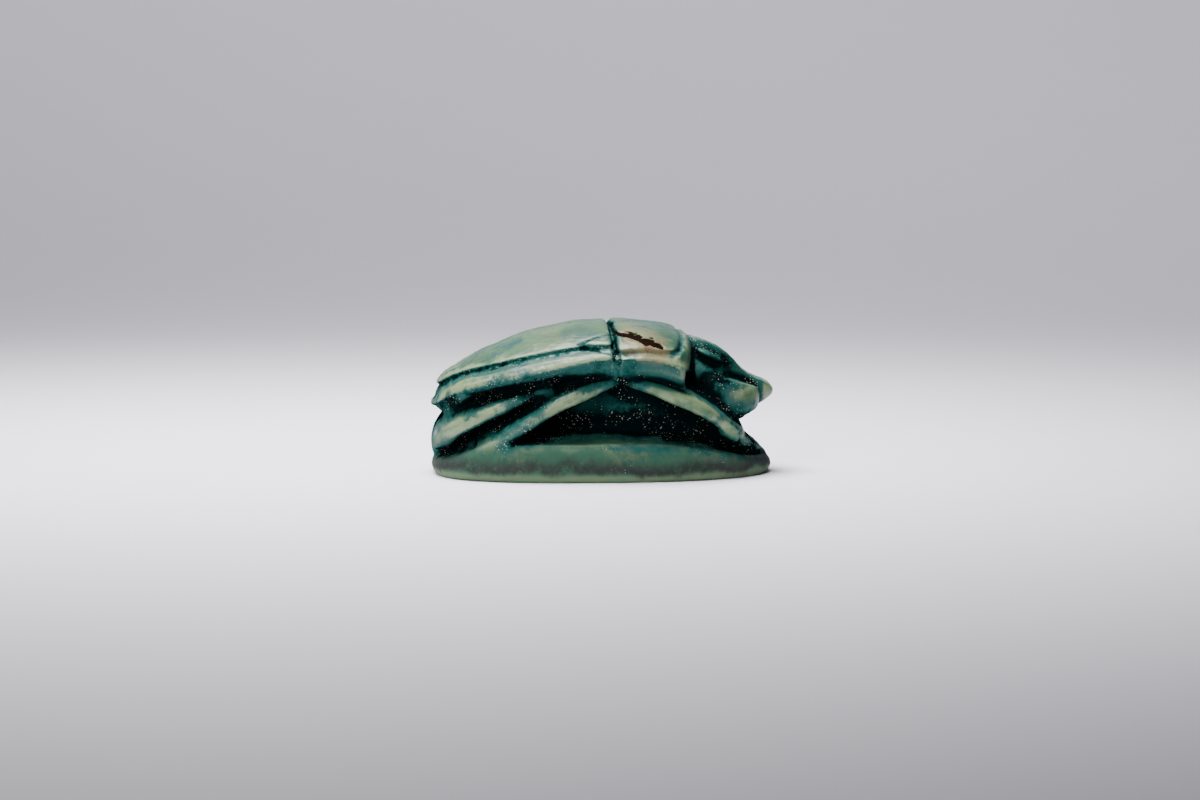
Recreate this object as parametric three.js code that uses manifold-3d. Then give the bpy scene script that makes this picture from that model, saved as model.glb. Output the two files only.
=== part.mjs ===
// A scarab amulet carved from one piece of glazed stone and pierced from end to end for a cord.
// Millimetres, +Z up, head towards +X, origin at the middle of the flat underside.
//
// The carving is a field: a function that says how far a point lies outside the stone. Each part of
// the beetle is a function of its own, the parts are blended as a carver rounds the joints between
// them, and the surface lies where the blended field is zero.
import * as THREE from "three";
import { SimplifyModifier } from "three/addons/modifiers/SimplifyModifier.js";
import { mergeVertices } from "three/addons/utils/BufferGeometryUtils.js";
import Module from "manifold-3d";

// ---- driving dimensions; a profile is a list of [along, value]
const CELL = 0.2;
const CORNERS_KEPT = 4850;
const BORE = { radius: 0.62, height: 2.75, sides: 20 };

const PLINTH = {
  halfLength: 8.5,
  halfWidth: 6.05,
  squareness: 2.1,
  backSquareness: 2.7,
  footDraw: 0.16,
  waistDraw: 0.05,
  edgeRound: 0.5,
  top: [[-8.6, 0.85], [-7.6, 1.1], [-6.6, 1.5], [-5.6, 1.78], [-1.0, 1.84], [2.5, 1.78], [5.0, 1.5],
    [7.0, 1.05], [8.6, 0.85]],
  mound: 0.4,
};

const TRUNK = { centre: -0.25, halfLength: 7.1, halfWidth: 3.1, squareness: 2.5, waistHeight: 2.7, flare: 0.14 };
const BELLY = { x: 1.6, height: 3.3, swell: 0.55 };
const NECK = { x: 4.9, halfLength: 1.0, halfWidth: 2.7, height: 3.9, rise: 2.4 };

// the back: its ridge, the rim where it turns under, and the foot of the side wall below the rim
const BACK = {
  ridge: [[-8.6, 4.0], [-8.35, 4.35], [-7.9, 4.95], [-7.0, 5.55], [-5.9, 6.12], [-4.1, 6.87], [-2.1, 7.36],
    [0.1, 7.6], [1.5, 7.57], [2.8, 7.42], [4.0, 7.05], [4.6, 6.7]],
  rim: [[-8.6, 3.4], [-8.3, 3.65], [-7.5, 4.2], [-6.0, 4.7], [-3.6, 5.28], [-1.5, 5.8], [0.2, 6.0],
    [2.2, 5.9], [3.6, 5.6], [4.6, 5.2]],
  middle: 0.6,
  reachBack: 9.1,
  reachFront: 7.4,
  halfWidth: 5.55,
  frontNarrowing: 0.55,
  rimThickness: [[-8.5, 0.8], [-3.0, 0.8], [-1.0, 0.65], [0.5, 0.5], [4.0, 0.5]],
  neckline: 4.45,
  necklineCurve: 0.035,
};
const SIDE_WALL = {
  foot: [[-8.6, 3.2], [-8.2, 3.15], [-7.4, 2.9], [-6.7, 3.4], [-6.0, 3.9], [-3.4, 4.4], [-1.7, 4.8],
    [0.2, 4.9], [2.2, 4.85], [3.6, 4.3], [4.8, 4.0]],
  centre: 0.22,
  halfLength: 8.5,
  halfWidth: 5.3,
  squareness: 2.4,
  hollow: [[-8.5, 0.1], [-7.6, 0.3], [-6.8, 1.2], [-3.0, 1.4], [-1.0, 0.9], [1.0, 0.7], [4.0, 0.9]],
  front: 3.8,
};

// lines cut into the back, drawn along and up, or for the shoulder marks along and out
const DIVIDE = { x: 0.32, halfWidth: 0.26, depth: 0.3 };
const BORDERS = {
  wingCase: [[-8.35, 3.8], [-8.15, 4.25], [-7.4, 4.83], [-6.0, 5.33], [-3.6, 5.95], [-1.4, 6.36], [0.2, 6.47]],
  collar: [[0.4, 6.22], [1.7, 6.24], [2.7, 6.18], [3.3, 6.18], [3.65, 6.5], [3.95, 7.5]],
  halfWidth: 0.25,
  depth: 0.15,
};
const SHOULDER = { mark: [[0.1, 3.75], [-1.35, 4.35], [0.1, 5.25]], above: 5.8, halfWidth: 0.18, depth: 0.11 };

// legs of one side, from the body outwards, each rising inwards; a station is [along, up, out, radius]
const LEGS = [
  {
    name: "hind",
    lean: 0.3,
    reach: 1.8,
    stations: [[-2.8, 4.5, 4.5, 0.26], [-3.95, 4.1, 4.75, 0.3], [-5.0, 3.65, 4.75, 0.31],
      [-5.85, 3.25, 4.55, 0.32], [-6.7, 2.8, 4.2, 0.33], [-7.4, 2.4, 3.7, 0.35], [-7.9, 1.8, 2.9, 0.4],
      [-8.05, 1.2, 1.1, 0.43]],
  },
  {
    name: "middle",
    lean: 0.3,
    reach: 1.8,
    stations: [[0.4, 4.95, 4.95, 0.28], [-0.5, 4.6, 5.2, 0.32], [-1.5, 4.2, 5.45, 0.34],
      [-2.5, 3.75, 5.5, 0.34], [-4.2, 2.65, 5.5, 0.32], [-5.2, 2.05, 5.3, 0.29], [-6.1, 1.5, 4.95, 0.22]],
  },
  {
    name: "fore",
    lean: 0.2,
    reach: 1.8,
    stations: [[1.0, 4.9, 4.8, 0.28], [1.9, 4.62, 5.05, 0.33], [2.9, 4.25, 5.15, 0.36],
      [4.35, 3.58, 5.0, 0.36], [5.5, 2.9, 4.6, 0.35], [6.4, 2.15, 4.0, 0.35]],
  },
  {
    name: "shin",
    lean: 0,
    reach: 1.3,
    stations: [[5.9, 2.35, 4.0, 0.34], [6.6, 1.9, 3.4, 0.37], [7.2, 1.45, 2.6, 0.37], [7.6, 1.1, 1.6, 0.37],
      [7.8, 0.9, 0.5, 0.37]],
  },
];

const HEAD = {
  back: 4.3,
  top: [[4.6, 6.75], [5.5, 6.4], [6.3, 5.92], [7.0, 5.2], [7.5, 4.84], [8.3, 4.47], [8.8, 4.0]],
  chin: [[4.6, 2.6], [6.4, 2.7], [7.0, 3.0], [7.5, 3.27], [8.0, 3.52], [8.6, 3.85], [9.0, 4.0]],
  plateHalfWidth: [[4.6, 1.75], [5.5, 1.6], [6.5, 1.35], [7.3, 1.35], [8.0, 1.4], [8.6, 0.9]],
  noseStart: 7.35,
  noseLength: 1.27,
  noseHalfWidth: 1.6,
};
const EYE = { x: 5.2, y: 1.95, z: 5.88, halfLength: 0.62, halfWidth: 0.5, halfHeight: 0.24, lean: 0.45 };
const CHEEK = {
  back: 5.0,
  front: 7.8,
  top: [[5.0, 5.05], [5.6, 4.95], [6.9, 4.58], [7.6, 4.32], [7.9, 4.15]],
  out: [[5.0, 3.35], [6.0, 3.4], [6.8, 3.1], [7.4, 2.6], [7.8, 1.9]],
  foot: [[5.0, 2.4], [6.4, 2.75], [7.0, 3.05], [7.9, 3.5]],
};

// ---- blending and shaping
const clamp = THREE.MathUtils.clamp;
const smoothstep = THREE.MathUtils.smoothstep;

function join(a, b, blend) {
  const overlap = Math.max(blend - Math.abs(a - b), 0) / blend;
  return Math.min(a, b) - overlap * overlap * blend * 0.25;
}

function trim(a, b, blend) {
  return -join(-a, -b, blend);
}

// a smooth bump: 1 at zero, falling to 0 at 1 and -1
function bump(offset) {
  const inside = 1 - Math.min(offset * offset, 1);
  return inside * inside;
}

// a smooth curve through a profile's points, level beyond its ends
function profile(points) {
  const slopes = points.slice(1).map(([x, v], i) => (v - points[i][1]) / (x - points[i][0]));
  const tangents = points.map((_, i) => {
    const before = slopes[Math.max(i - 1, 0)];
    const after = slopes[Math.min(i, slopes.length - 1)];
    return (before + after) / 2;
  });
  const last = points.length - 1;
  return (x) => {
    const at = clamp(x, points[0][0], points[last][0]);
    let i = 0;
    while (i < last - 1 && at >= points[i + 1][0]) i += 1;
    const span = points[i + 1][0] - points[i][0];
    const t = (at - points[i][0]) / span;
    const rise = t * t * (3 - 2 * t);
    return points[i][1] * (1 - rise) + points[i + 1][1] * rise
      + t * (1 - t) * span * ((1 - t) * tangents[i] - t * tangents[i + 1]);
  };
}

// how far a point lies outside an oval, and its share of the way from the middle to the edge
function oval(x, y, { halfLength, halfWidth, squareness, backSquareness = squareness }) {
  const u = Math.abs(x) / halfLength;
  const v = Math.abs(y) / halfWidth;
  const n = x < 0 ? backSquareness : squareness;
  const share = (u ** n + v ** n + 1e-9) ** (1 / n);
  const steepness = Math.hypot(u ** (n - 1) / halfLength, v ** (n - 1) / halfWidth);
  const distance = (share - 1) / (share ** (1 - n) * steepness + 1e-4);
  return { distance, share };
}

// rows of a smooth line through the given points, each point a list of numbers
function smoothLine(points, steps) {
  const columns = [points.map((p) => p.slice(0, 3)), points.map((p) => p.slice(3))];
  const curves = columns.map((rows) => new THREE.CatmullRomCurve3(
    rows.map(([a, b = 0, c = 0]) => new THREE.Vector3(a ?? 0, b, c)), false, "catmullrom", 0.5));
  const count = (points.length - 1) * steps;
  return Array.from({ length: count + 1 }, (_, i) => curves.flatMap((curve) => curve.getPoint(i / count).toArray()));
}

// the nearest place on a line drawn in a plane
function nearest(line, x, y) {
  let best = { squared: Infinity, index: 0, share: 0 };
  for (let i = 0; i + 1 < line.length; i += 1) {
    const dx = line[i + 1][0] - line[i][0];
    const dy = line[i + 1][1] - line[i][1];
    const along = ((x - line[i][0]) * dx + (y - line[i][1]) * dy) / (dx * dx + dy * dy);
    const share = clamp(along, 0, 1);
    const squared = (x - line[i][0] - share * dx) ** 2 + (y - line[i][1] - share * dy) ** 2;
    if (squared < best.squared) best = { squared, index: i, share };
  }
  return best;
}

// ---- the parts of the beetle, each a field of x, the distance out from the middle, and the height
function makePlinth() {
  const top = profile(PLINTH.top);
  return (x, out, z) => {
    const { distance, share } = oval(x, out, PLINTH);
    const draw = PLINTH.footDraw * bump(z / 0.45) + PLINTH.waistDraw * bump((z - 0.95) / 0.35)
      + 0.1 * clamp(z - 1.1, 0, 1);
    const mound = PLINTH.mound * smoothstep(0.93 - share, 0, 0.32);
    const block = trim(distance + draw, z - top(x) - mound, PLINTH.edgeRound);
    return Math.max(block, -CELL - z);
  };
}

function makeTrunk() {
  const foot = profile(SIDE_WALL.foot);
  return (x, out, z) => {
    const flare = Math.min(TRUNK.flare * (z - TRUNK.waistHeight) ** 2, 0.8);
    const belly = BELLY.swell * bump((x - BELLY.x) / 2.2) * bump((z - BELLY.height) / 2);
    const side = oval(x - TRUNK.centre, out, TRUNK).distance - flare - belly;
    const ends = Math.max(z - foot(x) - 0.2, 0.3 - z);
    const neck = (Math.hypot(out / NECK.halfWidth, (z - NECK.height) / NECK.rise) - 1) * 2.2;
    const neckEnds = Math.abs(x - NECK.x) - NECK.halfLength;
    return join(trim(side, ends, 0.4), trim(neck, neckEnds, 0.2), 0.15);
  };
}

function makeBack() {
  const ridge = profile(BACK.ridge);
  const rim = profile(BACK.rim);
  const rimThickness = profile(BACK.rimThickness);
  const level = (x, out, z) => {
    const edge = rim(x);
    const along = x < BACK.middle
      ? (Math.abs(x - BACK.middle) / BACK.reachBack) ** 2.1
      : (Math.abs(x - BACK.middle) / BACK.reachFront) ** 2.3;
    const width = BACK.halfWidth - BACK.frontNarrowing * smoothstep(x, 1.5, 4.5);
    const across = (out / width) ** 2.5;
    const height = Math.max(ridge(x) - edge, 0.25) / Math.max(1 - along, 0.06) ** (1 / 1.35);
    const above = (Math.max(z - edge, 0) / height) ** 1.35;
    const below = (Math.max(edge - z, 0) / rimThickness(x)) ** 2;
    return along + across + above + below;
  };
  return (x, out, z) => {
    const step = 0.01;
    const here = level(x, out, z);
    const slope = Math.hypot(level(x + step, out, z) - here, level(x, out + step, z) - here,
      level(x, out, z + step) - here) / step;
    const front = x - (BACK.neckline - BACK.necklineCurve * out * out);
    return trim((here - 1) / (slope + 0.05), front, 0.5);
  };
}

function makeCuts() {
  const wingCase = smoothLine(BORDERS.wingCase, 3);
  const collar = smoothLine(BORDERS.collar, 3);
  return (x, out, z) => {
    const low = smoothstep(6.6 - z, 0, 1.2);
    const lean = 0.12 * smoothstep(6.8 - z, 0, 1.5);
    const divide = (DIVIDE.depth + 0.12 * low) * bump((x - DIVIDE.x - lean) / DIVIDE.halfWidth);
    const border = x < DIVIDE.x ? wingCase : collar;
    const fade = border === collar ? 1 - 0.5 * smoothstep(z, 6.6, 7.2) : 1;
    const line = BORDERS.depth * fade * bump(Math.sqrt(nearest(border, x, z).squared) / BORDERS.halfWidth);
    const onShoulder = z > SHOULDER.above && x < DIVIDE.x;
    const mark = onShoulder
      ? SHOULDER.depth * bump(Math.sqrt(nearest(SHOULDER.mark, x, out).squared) / SHOULDER.halfWidth)
      : 0;
    return divide + line + mark;
  };
}

function makeSideWall() {
  const foot = profile(SIDE_WALL.foot);
  const rim = profile(BACK.rim);
  const hollow = profile(SIDE_WALL.hollow);
  return (x, out, z) => {
    const low = foot(x);
    const high = rim(x);
    const drop = clamp((high - z) / (high - low), 0, 1);
    let wall = oval(x - SIDE_WALL.centre, out, SIDE_WALL).distance + hollow(x) * drop ** 1.9;
    wall = trim(wall, low - z, 0.25);
    wall = trim(wall, z - high, 0.2);
    return trim(wall, x - SIDE_WALL.front, 0.4);
  };
}

function makeLeg({ stations, lean, reach }) {
  const line = smoothLine(stations, 4);
  const [outColumn, radiusColumn] = [2, 3];
  const read = ({ index, share }, column) => THREE.MathUtils.lerp(line[index][column], line[index + 1][column], share);
  return (x, out, z) => {
    const inward = read(nearest(line, x, z), outColumn) - 0.3 - out;
    const place = nearest(line, x, z - lean * clamp(inward, 0, reach));
    const radius = read(place, radiusColumn);
    const beyond = out - (read(place, outColumn) - radius);
    const gap = Math.max(beyond, 0) ** 2 + Math.max(-beyond - reach, 0) ** 2;
    return (Math.sqrt(place.squared + gap) - radius) / Math.sqrt(1 + 0.5 * lean * lean);
  };
}

function makeHead() {
  const top = profile(HEAD.top);
  const chin = profile(HEAD.chin);
  const plateHalfWidth = profile(HEAD.plateHalfWidth);
  const cheekTop = profile(CHEEK.top);
  const cheekOut = profile(CHEEK.out);
  const cheekFoot = profile(CHEEK.foot);
  return (x, out, z) => {
    const crown = top(x) - 0.05 * (out / 1.5) ** 2;
    const underside = (chin(x) - z) * 0.85;
    const nose = Math.hypot(Math.max(x - HEAD.noseStart, 0) / HEAD.noseLength, out / HEAD.noseHalfWidth) - 1;
    let plate = trim((z - crown) * 0.75, (out - plateHalfWidth(x)) * 0.95, 0.2);
    plate = trim(trim(plate, underside, 0.3), nose * 1.1, 0.3);

    const skullTop = top(x) - 0.45 - 0.85 * smoothstep(x, 5.2, 6.8) - 0.55 * Math.max(out - 1.2, 0);
    let skull = trim((z - skullTop) * 0.8, out - 2.75, 0.5);
    skull = trim(trim(skull, underside, 0.3), x - 7.2, 0.5);

    const eye = (Math.hypot((x - EYE.x) / EYE.halfLength, (out - EYE.y) / EYE.halfWidth,
      (z + EYE.lean * (x - EYE.x) - EYE.z) / EYE.halfHeight) - 1) * 0.38;

    let cheek = trim((z - cheekTop(x)) * 0.95, (out - cheekOut(x)) * 0.85, 0.5);
    cheek = trim(cheek, (cheekFoot(x) - z) * 0.85, 0.35);
    cheek = trim(trim(cheek, x - CHEEK.front, 0.4), CHEEK.back - x, 0.4);

    const head = join(join(join(plate, skull, 0.15), eye, 0.25), cheek, 0.1);
    return trim(head, HEAD.back - x, 0.2);
  };
}

function makeScarab() {
  const plinth = makePlinth();
  const trunk = makeTrunk();
  const back = makeBack();
  const cuts = makeCuts();
  const sideWall = makeSideWall();
  const legs = LEGS.map(makeLeg);
  const head = makeHead();
  return (x, y, z) => {
    const out = Math.abs(y);
    const body = join(join(trunk(x, out, z), plinth(x, out, z), 0.5), sideWall(x, out, z), 0.3);
    const limbs = legs.map((leg) => leg(x, out, z)).reduce((a, b) => join(a, b, 0.4));
    const shell = back(x, out, z) + cuts(x, out, z);
    return join(join(join(body, limbs, 0.3), shell, 0.3), head(x, out, z), 0.12);
  };
}

// ---- from the field to a closed surface: one point in each cell that the surface crosses
function surfaceOf(field, box, cell) {
  const counts = box.getSize(new THREE.Vector3()).divideScalar(cell).ceil();
  const [nx, ny, nz] = counts.addScalar(1).toArray();
  const corner = (i, j, k) => (i * ny + j) * nz + k;
  const values = new Float32Array(nx * ny * nz);
  for (let i = 0; i < nx; i += 1) {
    for (let j = 0; j < ny; j += 1) {
      for (let k = 0; k < nz; k += 1) {
        values[corner(i, j, k)] = field(box.min.x + i * cell, box.min.y + j * cell, box.min.z + k * cell);
      }
    }
  }

  const steps = [corner(1, 0, 0), corner(0, 1, 0), corner(0, 0, 1)];
  fillPinches(values, steps);
  const edges = [];
  for (let axis = 0; axis < 3; axis += 1) {
    for (let side = 0; side < 4; side += 1) {
      const start = [0, 0, 0];
      start[(axis + 1) % 3] = side & 1;
      start[(axis + 2) % 3] = side >> 1;
      edges.push({ axis, start });
    }
  }

  const pointOf = new Int32Array(values.length).fill(-1);
  const positions = [];
  for (let i = 0; i < nx - 1; i += 1) {
    for (let j = 0; j < ny - 1; j += 1) {
      for (let k = 0; k < nz - 1; k += 1) {
        const sum = new THREE.Vector3();
        let crossings = 0;
        for (const { axis, start } of edges) {
          const from = corner(i + start[0], j + start[1], k + start[2]);
          const a = values[from];
          const b = values[from + steps[axis]];
          if (a < 0 === b < 0) continue;
          const place = new THREE.Vector3(i + start[0], j + start[1], k + start[2]);
          place.setComponent(axis, place.getComponent(axis) + a / (a - b));
          sum.add(place);
          crossings += 1;
        }
        if (crossings === 0) continue;
        const low = new THREE.Vector3(i, j, k).multiplyScalar(cell).add(box.min);
        const point = sum.multiplyScalar(cell / crossings).add(box.min);
        settle(point, field, new THREE.Box3(low, low.clone().addScalar(cell)));
        pointOf[corner(i, j, k)] = positions.length / 3;
        positions.push(...point.toArray());
      }
    }
  }

  const index = [];
  const spot = (n) => new THREE.Vector3().fromArray(positions, n * 3);
  for (let i = 1; i < nx - 1; i += 1) {
    for (let j = 1; j < ny - 1; j += 1) {
      for (let k = 1; k < nz - 1; k += 1) {
        const from = corner(i, j, k);
        for (let axis = 0; axis < 3; axis += 1) {
          const a = values[from];
          const b = values[from + steps[axis]];
          if (a < 0 === b < 0) continue;
          const u = steps[(axis + 1) % 3];
          const v = steps[(axis + 2) % 3];
          const ring = [from - u - v, from - v, from, from - u].map((n) => pointOf[n]);
          if (a >= 0) ring.reverse();
          const [p, q, r, s] = ring;
          const shortWay = spot(p).distanceTo(spot(r)) < spot(q).distanceTo(spot(s));
          index.push(...(shortWay ? [p, q, r, p, r, s] : [q, r, s, q, s, p]));
        }
      }
    }
  }

  const geometry = new THREE.BufferGeometry();
  geometry.setAttribute("position", new THREE.Float32BufferAttribute(positions, 3));
  geometry.setIndex(index);
  return geometry;
}

// fill gaps thinner than a cell, where two inside corners of a cell's face meet only across its middle
function fillPinches(values, steps) {
  const faces = [[steps[0], steps[1]], [steps[1], steps[2]], [steps[2], steps[0]]];
  let filled = true;
  while (filled) {
    filled = false;
    for (let n = 0; n < values.length - steps[0] - steps[1] - steps[2]; n += 1) {
      for (const [u, v] of faces) {
        const inside = [n, n + u, n + u + v, n + v].map((place) => values[place] < 0);
        if (inside[0] !== inside[2] || inside[1] !== inside[3] || inside[0] === inside[1]) continue;
        const [p, q] = inside[0] ? [n + u, n + v] : [n, n + u + v];
        values[values[p] < values[q] ? p : q] = -0.05;
        filled = true;
      }
    }
  }
}

// slide a point along the field's slope onto the surface, without leaving its cell
function settle(point, field, cellBox) {
  const step = 0.02;
  const slope = new THREE.Vector3();
  for (let turn = 0; turn < 4; turn += 1) {
    const { x, y, z } = point;
    const here = field(x, y, z);
    slope.set(field(x + step, y, z) - here, field(x, y + step, z) - here, field(x, y, z + step) - here);
    slope.divideScalar(step);
    point.addScaledVector(slope, -0.8 * here / Math.max(slope.lengthSq(), 0.2));
    cellBox.clampPoint(point, point);
  }
}

// ---- solids
const manifold = await Module();
manifold.setup();

function solidOf(geometry) {
  const shape = new manifold.Mesh({
    numProp: 3,
    vertProperties: Float32Array.from(geometry.attributes.position.array),
    triVerts: Uint32Array.from(geometry.index.array),
  });
  return new manifold.Manifold(shape);
}

function geometryOf(solid) {
  const { vertProperties, triVerts } = solid.getMesh();
  const geometry = new THREE.BufferGeometry();
  geometry.setAttribute("position", new THREE.BufferAttribute(vertProperties, 3));
  geometry.setIndex(new THREE.BufferAttribute(triVerts, 1));
  return geometry;
}

// a plain three.js shape with its corners shared, ready to cut with
function cutter(geometry) {
  geometry.deleteAttribute("normal");
  geometry.deleteAttribute("uv");
  return solidOf(mergeVertices(geometry, 1e-4));
}

async function carveScarab() {
  const reach = new THREE.Vector3(9.1, 6.5, 8.1);
  const box = new THREE.Box3(new THREE.Vector3(-reach.x, -reach.y, -2 * CELL), reach);
  const fine = surfaceOf(makeScarab(), box, CELL);
  const thinned = await new SimplifyModifier().modify(fine, fine.attributes.position.count - CORNERS_KEPT);
  const rough = solidOf(thinned);

  const ground = new THREE.BoxGeometry(4 * reach.x, 4 * reach.y, 10).translate(0, 0, -5);
  const drill = new THREE.CylinderGeometry(BORE.radius, BORE.radius, 4 * reach.x, BORE.sides);
  drill.rotateZ(Math.PI / 2).translate(0, 0, BORE.height);
  const geometry = geometryOf(rough.subtract(cutter(ground)).subtract(cutter(drill)));

  geometry.computeBoundingBox();
  const middle = geometry.boundingBox.getCenter(new THREE.Vector3());
  geometry.translate(-middle.x, -middle.y, 0);
  return geometry;
}

const glaze = new THREE.MeshStandardMaterial({ color: 0x7fa596, roughness: 0.35, metalness: 0 });
const scarab = new THREE.Mesh(await carveScarab(), glaze);
scarab.name = "scarab";

const amulet = new THREE.Group();
amulet.add(scarab);
export default amulet;
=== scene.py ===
"""A scarab amulet, carved from one piece of soapstone, glazed blue-green and worn by handling.

The carving is a field: a function that says how far a point lies outside the stone. Each part of the
beetle is a class with a field of its own. The parts are blended as a carver rounds the joints between
them, and the surface is laid where the blended field is zero. The field works in millimetres with the
head towards +X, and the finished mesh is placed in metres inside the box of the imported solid.
"""
import logging
import math
from dataclasses import dataclass
from enum import Enum
from typing import Callable, Sequence

import bpy
import numpy as np
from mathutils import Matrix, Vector


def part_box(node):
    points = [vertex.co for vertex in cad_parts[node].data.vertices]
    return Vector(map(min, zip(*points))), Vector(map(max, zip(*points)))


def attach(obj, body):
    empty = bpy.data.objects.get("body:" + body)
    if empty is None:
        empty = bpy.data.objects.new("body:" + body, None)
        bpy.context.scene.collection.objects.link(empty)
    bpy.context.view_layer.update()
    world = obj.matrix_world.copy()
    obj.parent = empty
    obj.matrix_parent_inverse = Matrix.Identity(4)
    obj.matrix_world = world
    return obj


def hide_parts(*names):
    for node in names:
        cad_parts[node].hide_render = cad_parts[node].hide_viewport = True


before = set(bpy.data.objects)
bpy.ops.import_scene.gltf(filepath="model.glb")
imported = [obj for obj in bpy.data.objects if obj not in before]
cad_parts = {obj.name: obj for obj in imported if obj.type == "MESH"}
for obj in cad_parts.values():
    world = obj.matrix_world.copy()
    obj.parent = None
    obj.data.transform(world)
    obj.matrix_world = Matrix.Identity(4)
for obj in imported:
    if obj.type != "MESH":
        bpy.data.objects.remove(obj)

logger = logging.getLogger("scarab")

Array = np.ndarray
Points = tuple[tuple[float, ...], ...]
Three = tuple[float, float, float]
MM = 0.001
NEAR = 0.9
NODE = "scarab"
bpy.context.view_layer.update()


# ---- shaping
def join(a: Array, b: Array, blend: float) -> Array:
    """Joins two fields with a fillet.

    Args:
        a: The first field's values.
        b: The second field's values.
        blend: How wide the fillet is.

    Returns:
        The joined field's values.
    """
    overlap = np.maximum(blend - np.abs(a - b), 0.0) / blend
    return np.minimum(a, b) - overlap * overlap * blend * 0.25


def trim(a: Array, b: Array, blend: float) -> Array:
    """Keeps what lies inside both fields, with a rounded edge.

    Args:
        a: The first field's values.
        b: The second field's values.
        blend: How wide the rounding is.

    Returns:
        The trimmed field's values.
    """
    return -join(-a, -b, blend)


def bump(offset: Array) -> Array:
    """A smooth bump: 1 at zero, falling to 0 at 1 and -1."""
    return (1.0 - np.minimum(offset * offset, 1.0)) ** 2


def ease(value: Array, low: float, high: float) -> Array:
    """Rises smoothly from 0 at low to 1 at high."""
    t = np.clip((value - low) / (high - low), 0.0, 1.0)
    return t * t * (3.0 - 2.0 * t)


Field = Callable[[Array, Array, Array], Array]


def near_only(field: Field, low: Sequence[float], high: Sequence[float], x: Array, out: Array,
              z: Array) -> Array:
    """Works a field out near its part only, to save time.

    Args:
        field: The part's field.
        low: The lowest corner of a box that holds the part.
        high: The highest corner of that box.
        x: Threes along.
        out: Distances out from the middle.
        z: Heights.

    Returns:
        The field's values inside the box, and the distance to the box elsewhere.
    """
    places = (x, out, z)
    beyond = [np.maximum(np.maximum(a - at, at - b), 0.0) for a, b, at in zip(low, high, places)]
    result = np.sqrt(beyond[0] ** 2 + beyond[1] ** 2 + beyond[2] ** 2)
    close = result < NEAR
    result[close] = field(x[close], out[close], z[close])
    return result


@dataclass(frozen=True)
class Profile:
    """A smooth curve through points given as (along, value), level beyond its ends."""

    points: Points

    def __call__(self, x: Array) -> Array:
        """Gives the curve's value at each place along it."""
        at = np.array([point[0] for point in self.points])
        value = np.array([point[1] for point in self.points])
        slope = np.diff(value) / np.diff(at)
        tangent = np.concatenate([slope[:1], (slope[1:] + slope[:-1]) / 2, slope[-1:]])
        inside = np.clip(x, at[0], at[-1])
        i = np.clip(np.searchsorted(at, inside, side="right") - 1, 0, len(at) - 2)
        span = at[i + 1] - at[i]
        t = (inside - at[i]) / span
        rise = t * t * (3.0 - 2.0 * t)
        bend = t * (1.0 - t) * span * ((1.0 - t) * tangent[i] - t * tangent[i + 1])
        return value[i] * (1.0 - rise) + value[i + 1] * rise + bend


@dataclass(frozen=True)
class Line:
    """A smooth line drawn in a plane; each station's first two numbers are its place."""

    stations: Points
    steps: int = 1

    def rows(self) -> Array:
        """Gives the line's points, close together, with any further numbers carried along."""
        rows = np.array(self.stations, dtype=float)
        ends = np.vstack([2 * rows[:1] - rows[1:2], rows, 2 * rows[-1:] - rows[-2:-1]])
        if self.steps == 1:
            return rows
        out = []
        for i in range(len(rows) - 1):
            before, here, there, after = ends[i : i + 4]
            for step in range(self.steps):
                t = step / self.steps
                out.append(0.5 * (2 * here + (there - before) * t
                                  + (2 * before - 5 * here + 4 * there - after) * t ** 2
                                  + (3 * here - before - 3 * there + after) * t ** 3))
        out.append(rows[-1])
        return np.array(out)

    def nearest(self, x: Array, y: Array) -> tuple[Array, Array]:
        """Finds the nearest place on the line.

        Args:
            x: First coordinates in the line's plane.
            y: Second coordinates in the line's plane.

        Returns:
            The squared distances, and the numbers carried along at the nearest places.
        """
        rows = self.rows()
        best = np.full(x.shape, np.inf)
        carried = np.zeros(x.shape + (rows.shape[1] - 2,))
        for a, b in zip(rows[:-1], rows[1:]):
            dx, dy = b[0] - a[0], b[1] - a[1]
            share = np.clip(((x - a[0]) * dx + (y - a[1]) * dy) / (dx * dx + dy * dy), 0.0, 1.0)
            squared = (x - a[0] - share * dx) ** 2 + (y - a[1] - share * dy) ** 2
            closer = squared < best
            best = np.where(closer, squared, best)
            if rows.shape[1] > 2:
                value = a[2:] + share[..., None] * (b[2:] - a[2:])
                carried = np.where(closer[..., None], value, carried)
        return best, carried

    def mark(self, x: Array, y: Array, half_width: float) -> Array:
        """Gives 1 on the line, falling smoothly to 0 at half_width from it."""
        return bump(np.sqrt(self.nearest(x, y)[0]) / half_width)


@dataclass(frozen=True)
class Oval:
    """A plan outline between an ellipse and a rectangle, which may be blunter at the back."""

    half_length: float
    half_width: float
    squareness: float
    back_squareness: float = 0.0

    def measure(self, x: Array, y: Array) -> tuple[Array, Array]:
        """Gives how far each point lies outside, and its share of the way to the edge."""
        u = np.abs(x) / self.half_length
        v = np.abs(y) / self.half_width
        n = np.where(x < 0, self.back_squareness or self.squareness, self.squareness)
        share = (u ** n + v ** n + 1e-9) ** (1 / n)
        steepness = np.hypot(u ** (n - 1) / self.half_length, v ** (n - 1) / self.half_width)
        return (share - 1) / (share ** (1 - n) * steepness + 1e-4), share


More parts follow.
